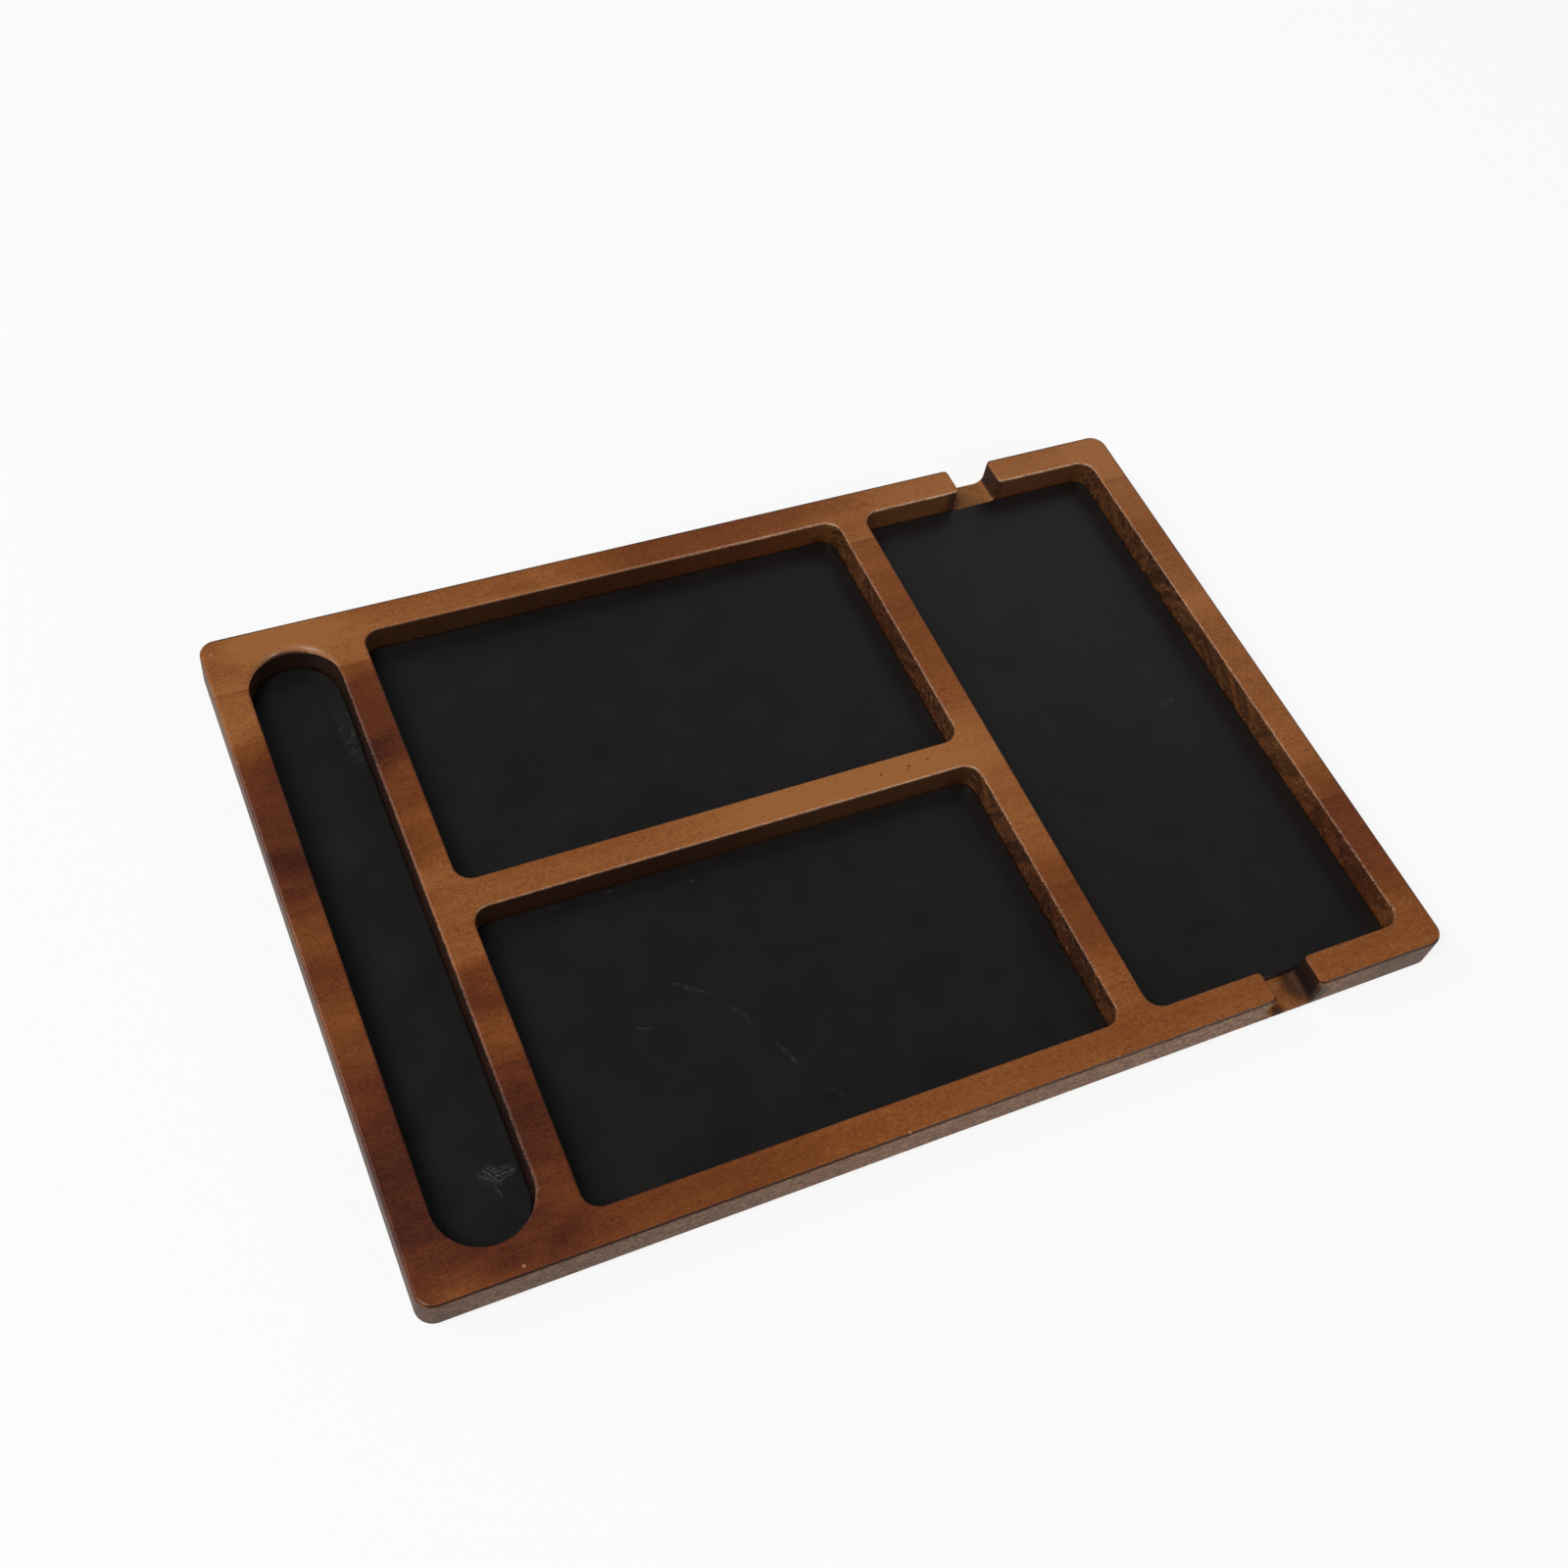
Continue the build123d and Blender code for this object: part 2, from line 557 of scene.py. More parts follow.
@dataclass(frozen=True)
class Zones:
    """Stretches of the board's X or Y over which a look comes in, from where none to where in full.

    notch_half is half a cable notch's width, and the reaches are how far from the notch's middle its dull
    coat, its dull crest and its dark walls go.
    """

    left_rails: Span = (30 * MM, -60 * MM)
    left_half: Span = (20 * MM, 0.0)
    front_half: Span = (30 * MM, 0.0)
    back_half: Span = (0.0, 10 * MM)
    past_pen_slot: Span = (-140 * MM, -60 * MM)
    pen_slot_sides: Span = (-138 * MM, -142 * MM)
    pen_slot_ends: Span = (-138 * MM, -141 * MM)
    torn_ends: Span = (-142 * MM, -80 * MM)
    middle_pockets: Span = (66 * MM, 60 * MM)
    right_divider: Span = (60 * MM, 66 * MM)
    large_pocket: Span = (60 * MM, 72 * MM)
    past_notch: Span = (126 * MM, 136 * MM)
    back_rail: Span = (90 * MM, 100 * MM)
    back_rail_right: Span = (-35 * MM, 25 * MM)
    before_back_rail: Span = (90 * MM, 20 * MM)
    nearer: Span = (20 * MM, -20 * MM)
    nearest: Span = (-30 * MM, -60 * MM)
    pale_face: Span = (25 * MM, 65 * MM)
    dull_face: Span = (125 * MM, 160 * MM)
    shaded_left: Span = (-50 * MM, -100 * MM)
    shaded_corner: Span = (-166 * MM, -180 * MM)
    shaded_right: Span = (130 * MM, 165 * MM)
    notched_rails: Span = (110 * MM, 114 * MM)
    notch_half: float = 10 * MM
    coat_reach: float = 12 * MM
    crest_reach: float = 13 * MM
    wall_reach: float = 20 * MM


@dataclass(frozen=True)
class ToneSwings:
    """How far each noise moves the stain's tone, how dark the pores are, and how soft the clouds."""

    blotch: float = 0.22
    rings: float = 0.20
    fibres: float = 0.26
    mottle: float = 0.32
    grit: float = 0.60
    pore: float = 0.55
    fleck: float = 0.24
    end_grain_fleck: float = 0.32
    darkest: float = 0.90
    cloud_waver: float = 0.50
    cloud_rim: Span = (1.0, 0.25)


@dataclass(frozen=True)
class EdgeWearAndLight:
    """The rounded edges: how pale they are worn, which is partly a painted highlight, and how strong their
    painted highlight line and their dark rim of painted shade are.

    rim_line is the rim's width, rim_core the share of it that is full, end_narrower how much narrower it is
    at the board's ends, and left_clear how far the left end is kept out of it.
    """

    rubbed_and_sheen: float = 0.30
    rubbed_and_sheen_mottle: float = 0.24
    by_pen_slot: float = 0.40
    line: float = 0.80
    line_front: float = 0.60
    line_back: float = 0.80
    line_breaks: Span = (0.80, 1.20)
    thin_line: float = 0.36
    thin_past_pen: float = 0.26
    thin_breaks: Span = (0.36, 0.64)
    thin_less_in_notch: float = 0.85
    rim: float = 0.88
    rim_line: float = 2.0 * MM
    rim_core: float = 0.55
    end_narrower: float = 1.6
    left_clear: float = 18.0 * MM


@dataclass(frozen=True)
class WallStainAndShade:
    """How dark the routed walls are, along the grain and where they saw through it, and what a place adds.
    The darkness is partly a darker stain and partly painted shade in the pockets.

    A sawn wall has dark pits and pale frays, partly painted glints, over two stretches of its lumps, which
    are mottle and grit.
    """

    side: float = 0.39
    side_large: float = 0.16
    side_left: float = 0.43
    side_past_notch: float = 0.08
    front_middle: float = 0.78
    front_middle_left: float = 0.12
    pen_slot_side: float = 0.97
    sawn: float = 0.68
    sawn_before_back: float = -0.08
    sawn_front_middle: float = 0.10
    sawn_large: float = 0.06
    sawn_nearer: float = -0.05
    sawn_nearest: float = -0.20
    sawn_rings: float = 0.34
    pen_slot_end: float = 0.93
    notch: float = 0.92
    back_notch: float = -0.08
    torn: float = 0.35
    torn_at_left: float = 0.30
    lump_mottle: float = 0.45
    pits: float = 0.50
    pit_lumps: Span = (0.49, 0.40)
    frays: float = 0.60
    fray_lumps: Span = (0.53, 0.62)


@dataclass(frozen=True)
class DustyFace:
    """The outer faces: how strong their dust, rings, speckle and painted shade are, and what a place adds.
    """

    less_at_end: float = 0.45
    dust: float = 0.60
    dust_blotch: float = 0.50
    arcs: float = 0.45
    arc_rings: Span = (0.50, 0.60)
    speckle_mottle: float = 0.14
    speckle_grit: float = 0.42
    speckle_fibres: float = 0.44
    pale: float = 0.64
    pale_right: float = 0.32
    pale_far_right: float = -0.50
    pale_specks: Span = (0.50, 0.43)
    dark: float = 0.82
    dark_specks: Span = (0.515, 0.575)
    shade_left: float = 0.18
    shade_corner: float = 0.30
    shade_right: float = 0.45


@dataclass(frozen=True)
class FloorStainAndShade:
    """The pocket floors: how dark the painted shadow is in the gap round a liner, how dark the painted
    shade on the back notch's floor, and how bare the notch floors are.

    liner_gap is the gap's width. gap_top and foot_top are the heights below which a point is in the gap or
    at the foot of a notch's wall, and off_end and above_bottom keep the outer faces and the underside out.
    """

    liner_gap: float = 0.6 * MM
    gap_top: Span = (4.5 * MM, 3.8 * MM)
    foot_top: Span = (5.7 * MM, 4.1 * MM)
    past_pocket: Span = (0.0, 0.3 * MM)
    off_end: Span = (4 * MM, 8 * MM)
    above_bottom: Span = (2 * MM, 3 * MM)
    gap_shadow: float = 0.85
    far_shade: float = 0.36
    bare: float = 0.20
    bare_far: float = 0.10
    bare_grit: Span = (0.36, 0.60)


@dataclass(frozen=True)
class Lacquer:
    """The satin lacquer and the wood's relief under it, and what each noise or kind of face adds."""

    relief_depth: float = 0.12 * MM
    relief_strength: float = 0.55
    fibre_height: float = 0.30
    pore_height: float = -0.40
    blotch_height: float = 0.25
    grit_height: float = 0.90
    fleck_height: float = -0.30
    roughness: float = 0.42
    blotch_roughness: float = 0.12
    pore_roughness: float = 0.20
    upright_roughness: float = 0.14
    notch_roughness: float = 0.25
    specular: float = 0.18
    coat: float = 0.20
    outer_coat: float = -0.16
    brink_coat: float = 0.42
    less_in_notch: float = 0.90
    coat_roughness: float = 0.18


@dataclass(frozen=True)
class StainedWood:
    """Porous hardwood under a brown stain and a satin lacquer, with its grain along X.

    tone_stops are the colours from dark to pale. glue_line is how far into a stave its glue line reaches,
    glue_breaks where the line is broken up, and glue how much of it shows.
    """

    cells: GrainCells = GrainCells()
    facings: Facings = Facings()
    zones: Zones = Zones()
    swings: ToneSwings = ToneSwings()
    worn_and_lit: EdgeWearAndLight = EdgeWearAndLight()
    walls: WallStainAndShade = WallStainAndShade()
    faces: DustyFace = DustyFace()
    floors: FloorStainAndShade = FloorStainAndShade()
    lacquer: Lacquer = Lacquer()
    tone_stops: tuple[tuple[float, Tone], ...] = (
        (0.0, Tone.HEARTWOOD),
        (0.34, Tone.RUSSET),
        (0.66, Tone.CHESTNUT),
        (1.0, Tone.HONEY),
    )
    glue_line: float = 0.32 * MM
    glue_breaks: Span = (0.30, 0.62)
    glue: float = 0.45

    def dress(self, cut: StaveCut, patches: tuple[Patch, ...], is_first: bool, is_last: bool) -> None:
        """Give a stave its own wood.

        Args:
            cut: how the stave was cut.
            patches: the clouds of stain on the whole board.
            is_first: whether it is the front stave, whose front has no glue line.
            is_last: whether it is the back stave, whose back has no glue line.
        """
        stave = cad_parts[cut.node]
        bench = new_bench(f"wood_{cut.node}")
        wood = StaveWood(bench, self.cells, self.facings, cut)
        self._stain(wood, cut, patches)
        self._wear_and_light_edges(wood)
        self._darken_walls(wood)
        self._dust_and_shade_outer_faces(wood)
        self._darken_floors(wood)
        wood.paint(self._glue(wood, cut, is_first, is_last), Tone.PORE_AND_SHADE)
        for nick in cut.nicks:
            off = bench.length(bench.local(bench.place(), nick.place))
            wood.paint(off.rise(nick.radius, nick.core_share * nick.radius) * nick.strength, nick.tone)
        self._varnish(wood)
        stave.data.materials[0] = bench.owner
        log.info("%s: wood, tone %.2f", cut.node, cut.tone)

    def _stain(self, wood: StaveWood, cut: StaveCut, patches: tuple[Patch, ...]) -> None:
        """Stain the wood: its tone, its clouds and its pores.

        Args:
            wood: the stave's wood.
            cut: how the stave was cut.
            patches: the clouds of stain on the whole board.
        """
        swings = self.swings
        tone = cut.tone + wood.blotch.about_zero() * swings.blotch + wood.rings.about_zero() * swings.rings
        tone = tone + wood.fibres.about_zero() * swings.fibres + wood.mottle.about_zero() * swings.mottle
        tone = tone + wood.grit.about_zero() * swings.grit
        low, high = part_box(cut.node)
        for patch in patches:
            if patch.touches(low.y, high.y):
                tone = tone - self._cloud(wood, patch)
        stops = [(place, stop.value) for place, stop in self.tone_stops]
        wood.colour = wood.bench.node("ShaderNodeValToRGB", {"stops": stops}, {"Fac": tone})
        flecks = wood.flecks * (swings.fleck + wood.end_grain * swings.end_grain_fleck)
        wood.paint((wood.pores * swings.pore + flecks).at_most(swings.darkest), Tone.PORE_AND_SHADE)

    def _cloud(self, wood: StaveWood, patch: Patch) -> Signal:
        """How dark a patch makes the wood: full at its centre, and fading towards a wavering rim.

        Args:
            wood: the stave's wood.
            patch: the patch.

        Returns:
            What it takes from the tone.
        """
        bench = wood.bench
        off = bench.length(bench.local(bench.place(), (*patch.centre, 0.0), size=(*patch.reach, 1.0)))
        off = off + wood.blotch.about_zero() * self.swings.cloud_waver
        return off.rise(*self.swings.cloud_rim) * patch.depth

    def _wear_and_light_edges(self, wood: StaveWood) -> None:
        """Rub the rounded edges pale towards the front and the left, partly as a painted highlight, lay a
        painted highlight line on their lower half, and darken those on the outer sides with a rim of
        painted shade.

        Args:
            wood: the stave's wood.
        """
        facings, zones, worn_and_lit = self.facings, self.zones, self.worn_and_lit
        to_front = (0.0 - wood.across).rise(*facings.sideways) * (1.0 - wood.outward)
        to_left = (0.0 - wood.along).rise(*facings.sideways)
        past_pen = worn_and_lit.by_pen_slot + wood.x.rise(*zones.past_pen_slot) * (1.0 - worn_and_lit.by_pen_slot)
        edge = wood.up.within(*facings.edge) * wood.crest * to_front * past_pen
        # a pale worn band along the rounded edges, partly a painted highlight
        wood.paint(edge * (worn_and_lit.rubbed_and_sheen + wood.mottle * worn_and_lit.rubbed_and_sheen_mottle), Tone.WORN_AND_HIGHLIGHT)
        # painted highlight: a bright broken line on the lower half of the edges, at the right divider, the
        # front rails and the back rail's right
        crisp = wood.x.rise(*zones.right_divider).at_least(wood.y.rise(*zones.front_half) * worn_and_lit.line_front)
        at_back = wood.x.rise(*zones.back_rail_right) * wood.y.rise(*zones.back_rail)
        crisp = crisp.at_least(at_back * worn_and_lit.line_back)
        line = to_front * crisp * (wood.mottle + wood.grit).rise(*worn_and_lit.line_breaks)
        in_notch = self._notch(wood, zones.crest_reach)
        thin = wood.up.within(*facings.line) * to_left * (1.0 - in_notch * worn_and_lit.thin_less_in_notch)
        thin = thin * wood.grit.rise(*worn_and_lit.thin_breaks) * (worn_and_lit.thin_line + past_pen * worn_and_lit.thin_past_pen)
        wood.paint(wood.brink * line.at_least(thin) * worn_and_lit.line, Tone.PAINTED_HIGHLIGHT)
        # painted shade: a dark rim along the rounded edges of the outer sides
        off_end = wood.off_x * worn_and_lit.end_narrower + wood.x.rise(*zones.left_half) * worn_and_lit.left_clear
        at_rim = wood.off_y.at_most(off_end).rise(worn_and_lit.rim_line, worn_and_lit.rim_line * worn_and_lit.rim_core)
        turned = wood.across.at_least(wood.along).rise(*facings.turned)
        turned = wood.up.rise(*facings.below_top).at_least(turned)
        wood.paint(at_rim * wood.up.rise(*facings.rim) * wood.crest * turned * worn_and_lit.rim, Tone.DARK_STAIN_AND_SHADE)

    def _notch(self, wood: StaveWood, reach: float) -> Signal:
        """How far a point is in a cable notch, which fades out at a reach from the notch's middle.

        Args:
            wood: the stave's wood.
            reach: the reach.

        Returns:
            1 in a notch and 0 outside.
        """
        low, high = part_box("large_pocket_liner")
        aside = abs(wood.x - (low.x + high.x) / 2)
        return aside.rise(reach, self.zones.notch_half) * abs(wood.y).rise(*self.zones.notched_rails)

    def _darken_walls(self, wood: StaveWood) -> None:
        """Make the routed walls darker than the rails, partly by a darker stain and partly by painted
        shade, most of all at the left and in the notches.

        Where a wall saws through the grain it is torn, with dark pits and pale frayed fibres whose paleness
        is partly painted glints.

        Args:
            wood: the stave's wood.
        """
        zones, walls = self.zones, self.walls
        to_left = wood.x.rise(*zones.left_rails)
        large = wood.x.rise(*zones.large_pocket)
        front_middle = wood.y.rise(*zones.front_half) * wood.x.rise(*zones.middle_pockets)
        side = walls.side + large * walls.side_large + to_left * walls.side_left
        side = side + wood.x.rise(*zones.past_notch) * walls.side_past_notch
        side = side.at_least(front_middle * (walls.front_middle + to_left * walls.front_middle_left))
        side = side.at_least(wood.x.rise(*zones.pen_slot_sides) * walls.pen_slot_side)
        in_large = walls.sawn_large + wood.y.rise(*zones.nearer) * walls.sawn_nearer
        in_large = in_large + wood.y.rise(*zones.nearest) * walls.sawn_nearest
        sawn = walls.sawn + wood.y.rise(*zones.before_back_rail) * walls.sawn_before_back
        sawn = sawn + front_middle * walls.sawn_front_middle + large * in_large
        sawn = sawn + wood.rings.rise(*NOISE_MIDDLE).about_zero() * walls.sawn_rings
        sawn = sawn.at_least(wood.x.rise(*zones.pen_slot_ends) * walls.pen_slot_end)
        notch = self._notch(wood, zones.wall_reach)
        in_notch = notch * (walls.notch + wood.y.rise(*zones.back_half) * walls.back_notch)
        # the walls' darkness: partly a darker stain, partly painted shade, near black along the pen slot's
        # sides
        stain_and_shade = (side + (sawn - side) * wood.end_grain).at_least(in_notch)
        wood.paint(wood.routed * stain_and_shade, Tone.DARK_STAIN_AND_SHADE)
        torn = walls.torn + wood.blotch.rise(*NOISE_MIDDLE) * (1.0 - walls.torn)
        torn = torn * wood.end_grain * wood.routed * (1.0 - notch)
        torn = torn * wood.x.rise(*zones.torn_ends).at_least(walls.torn_at_left)
        lumps = wood.mottle * walls.lump_mottle + wood.grit * (1.0 - walls.lump_mottle)
        # dark pits and pale frays on torn end grain; the frays are partly painted glints
        wood.paint(torn * lumps.rise(*walls.pit_lumps) * walls.pits, Tone.DARK_STAIN_AND_SHADE)
        wood.paint(torn * lumps.rise(*walls.fray_lumps) * walls.frays, Tone.FRAYED_AND_GLINT)

    def _dust_and_shade_outer_faces(self, wood: StaveWood) -> None:
        """Turn the outer faces a dusty brown under a fine speckle, with growth rings at the board's ends,
        and paint shade on them at the left, at the left corner and at the right.

        Args:
            wood: the stave's wood.
        """
        zones, faces = self.zones, self.faces
        on_sides = 1.0 - wood.end_grain * faces.less_at_end
        dusty = wood.outer * on_sides
        wood.paint(dusty * (faces.dust + wood.blotch.about_zero() * faces.dust_blotch), Tone.DUSTY)
        arcs = wood.outer * wood.end_grain * wood.rings.rise(*faces.arc_rings)
        wood.paint(arcs * faces.arcs, Tone.HEARTWOOD)
        speckled = dusty * on_sides
        speckle = wood.mottle * faces.speckle_mottle + wood.grit * faces.speckle_grit
        speckle = speckle + wood.fibres * faces.speckle_fibres
        pale = faces.pale + wood.x.rise(*zones.pale_face) * faces.pale_right
        pale = pale + wood.x.rise(*zones.dull_face) * faces.pale_far_right
        wood.paint(speckled * speckle.rise(*faces.pale_specks) * pale, Tone.CHALKY)
        wood.paint(speckled * speckle.rise(*faces.dark_specks) * faces.dark, Tone.PORE_AND_SHADE)
        # painted shade on the outer faces: at the left, at the left corner and at the right
        shaded = wood.x.rise(*zones.shaded_left) * faces.shade_left
        shaded = shaded + wood.x.rise(*zones.shaded_corner) * faces.shade_corner
        shaded = shaded + wood.x.rise(*zones.shaded_right) * faces.shade_right
        wood.paint(wood.outer * shaded, Tone.PORE_AND_SHADE)

    def _darken_floors(self, wood: StaveWood) -> None:
        """Paint shadow on the floor in the gap round each liner and shade on the back notch's floor, and
        leave the notch floors partly bare.

        Args:
            wood: the stave's wood.
        """
        floors = self.floors
        pocket_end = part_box("large_pocket_liner")[1].y + floors.liner_gap
        past_pocket = (abs(wood.y) - pocket_end).rise(*floors.past_pocket)
        in_gap = (1.0 - past_pocket) * wood.off_x.rise(*floors.off_end) * wood.z.rise(*floors.above_bottom)
        # painted shadow in the gap between a liner and its pocket's walls
        wood.paint(wood.z.rise(*floors.gap_top) * in_gap * floors.gap_shadow, Tone.DARK_STAIN_AND_SHADE)
        foot = wood.z.rise(*floors.foot_top) * past_pocket * wood.up.rise(*self.facings.level)
        far = wood.y.rise(*self.zones.back_half)
        # painted shade on the back notch's floor
        wood.paint(foot * far * floors.far_shade, Tone.DARK_STAIN_AND_SHADE)
        bare = foot * (floors.bare + far * floors.bare_far)
        wood.paint(bare * wood.grit.rise(*floors.bare_grit), Tone.BARE)

    def _glue(self, wood: StaveWood, cut: StaveCut, is_first: bool, is_last: bool) -> Signal:
        """The dark hairline where this stave meets its neighbours, broken up along the grain.

        Args:
            wood: the stave's wood.
            cut: how the stave was cut.
            is_first: whether the front of the stave has no neighbour.
            is_last: whether the back of the stave has no neighbour.

        Returns:
            The line's strength.
        """
        low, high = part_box(cut.node)
        line = wood.fibres * 0.0
        if not is_first:
            line = line + (wood.y - low.y).rise(self.glue_line, 0.0)
        if not is_last:
            line = line + (high.y - wood.y).rise(self.glue_line, 0.0)
        return line * wood.fibres.rise(*self.glue_breaks) * self.glue

    def _varnish(self, wood: StaveWood) -> None:
        """Close the material with the lacquer, over the relief of the fibres and pores.

        Args:
            wood: the stave's wood.
        """
        lacquer = self.lacquer
        height = 0.5 + wood.fibres.about_zero() * lacquer.fibre_height + wood.pores * lacquer.pore_height
        height = height + wood.blotch.about_zero() * lacquer.blotch_height
        height = height + wood.upright * wood.grit.about_zero() * lacquer.grit_height
        height = height + wood.flecks * wood.end_grain * lacquer.fleck_height
        in_notch = self._notch(wood, self.zones.coat_reach)
        roughness = lacquer.roughness + wood.blotch.about_zero() * lacquer.blotch_roughness
        roughness = roughness + wood.pores * lacquer.pore_roughness + in_notch * lacquer.notch_roughness
        roughness = roughness + wood.upright * lacquer.upright_roughness
        coat = lacquer.coat + wood.outer * lacquer.outer_coat + wood.brink * lacquer.brink_coat
        wood.bench.finish({
            "Base Color": wood.colour,
            "Roughness": roughness,
            "Normal": wood.bench.relief(height, lacquer.relief_depth, lacquer.relief_strength),
            "Specular IOR Level": lacquer.specular,
            "Coat Weight": coat * (1.0 - in_notch * lacquer.less_in_notch),
            "Coat Roughness": lacquer.coat_roughness,
            "IOR": FINISH_IOR,
        })


@dataclass
class Board:
    """The glued board: its finish, the clouds of stain on it, and how each stave was cut, front to back."""

    finish: StainedWood = field(default_factory=StainedWood)
    patches: tuple[Patch, ...] = (
        Patch((-0.168, 0.044), (0.062, 0.046), 0.54),
        Patch((-0.183, 0.018), (0.034, 0.034), 0.12),
        Patch((-0.160, -0.084), (0.084, 0.058), 0.50),
        Patch((-0.185, -0.050), (0.060, 0.110), 0.21),
        Patch((0.004, 0.123), (0.085, 0.032), 0.42),
        Patch((0.178, -0.078), (0.050, 0.040), 0.38),
        Patch((0.064, 0.050), (0.034, 0.046), 0.15),
        Patch((0.064, -0.072), (0.034, 0.034), 0.27),
        Patch((0.014, 0.000), (0.086, 0.028), -0.30),
        Patch((-0.136, 0.078), (0.030, 0.036), 0.42),
        Patch((-0.134, -0.082), (0.022, 0.034), 0.14),
        Patch((-0.132, -0.034), (0.024, 0.016), 0.36),
        Patch((-0.115, -0.124), (0.090, 0.026), 0.25),
        Patch((-0.092, 0.124), (0.050, 0.020), 0.13),
        Patch((-0.182, -0.016), (0.022, 0.016), 0.16),
        Patch((-0.136, 0.040), (0.016, 0.014), -0.14),
        Patch((-0.160, 0.121), (0.030, 0.012), -0.18),
        Patch((0.176, 0.119), (0.018, 0.014), -0.16),
        Patch((-0.154, -0.125), (0.024, 0.012), 0.12),
        Patch((0.179, 0.034), (0.016, 0.012), -0.14),
        Patch((-0.180, 0.090), (0.016, 0.020), -0.20),
        Patch((-0.183, 0.119), (0.018, 0.020), 0.15),
        Patch((0.179, 0.092), (0.020, 0.020), -0.12),
        Patch((-0.180, -0.066), (0.012, 0.014), -0.12),
    )
    cuts: tuple[StaveCut, ...] = (
        StaveCut("front_edge_stave", 0.73, (-0.150, -0.030), 1.37, (
            Nick((-0.1528, -0.1243, 0.0150), 0.0007),
            Nick((-0.0270, -0.1261, 0.0147), 0.0007),
            Nick((0.0497, -0.1260, 0.0146), 0.0006),
            # dark spots at the near notch: the largest, on its floor, is the painted shadow of its right
            # block, and the two smaller ones darken its mouth
            Nick((0.1325, -0.1265, 0.0075), 0.0068, Tone.DARK_STAIN_AND_SHADE),
            Nick((0.1312, -0.1190, 0.0040), 0.0110, Tone.DARK_STAIN_AND_SHADE),
            Nick((0.1180, -0.1268, 0.0030), 0.0034, Tone.DARK_STAIN_AND_SHADE),
        )),
        StaveCut("board_stave_2", 0.78, (-0.020, -0.060), 2.91),
        StaveCut("board_stave_3", 0.83, (-0.110, -0.045), 4.13),
        StaveCut("board_stave_4", 0.79, (0.050, -0.055), 5.77, (
            Nick((0.0230, 0.0000, 0.0150), 0.0006, Tone.PORE_AND_SHADE),
            Nick((0.0340, 0.0002, 0.0150), 0.0007, Tone.PORE_AND_SHADE),
            Nick((0.0420, 0.0010, 0.0150), 0.0006, Tone.PORE_AND_SHADE),
        )),
        StaveCut("board_stave_5", 0.78, (-0.010, -0.070), 7.19),
        StaveCut("board_stave_6", 0.70, (0.150, -0.040), 8.53),
        StaveCut("back_edge_stave", 0.92, (0.060, -0.050), 9.83, (
            Nick((-0.1814, 0.1207, 0.0150), 0.0006),
            Nick((0.1146, 0.1169, 0.0045), 0.0016, Tone.DARK_STAIN_AND_SHADE),
        )),
    )

    def build(self) -> None:
        """Dress every stave."""
        last = len(self.cuts) - 1
        for index, cut in enumerate(self.cuts):
            self.finish.dress(cut, self.patches, index == 0, index == last)


class Ends(Enum):
    """The plan of a liner's ends."""

    ROUNDED_CORNERS = "rounded corners"
    HALF_ROUND = "half round"


@dataclass(frozen=True)
class Mark:
    """A mark on the leather, which is a cluster of fine creases or a soft scuff.

    centre and reach place it in plan, turn is the way that it runs, and depth is how much it shows.
    """

    centre: Plan
    reach: Plan
    turn: float
    depth: float


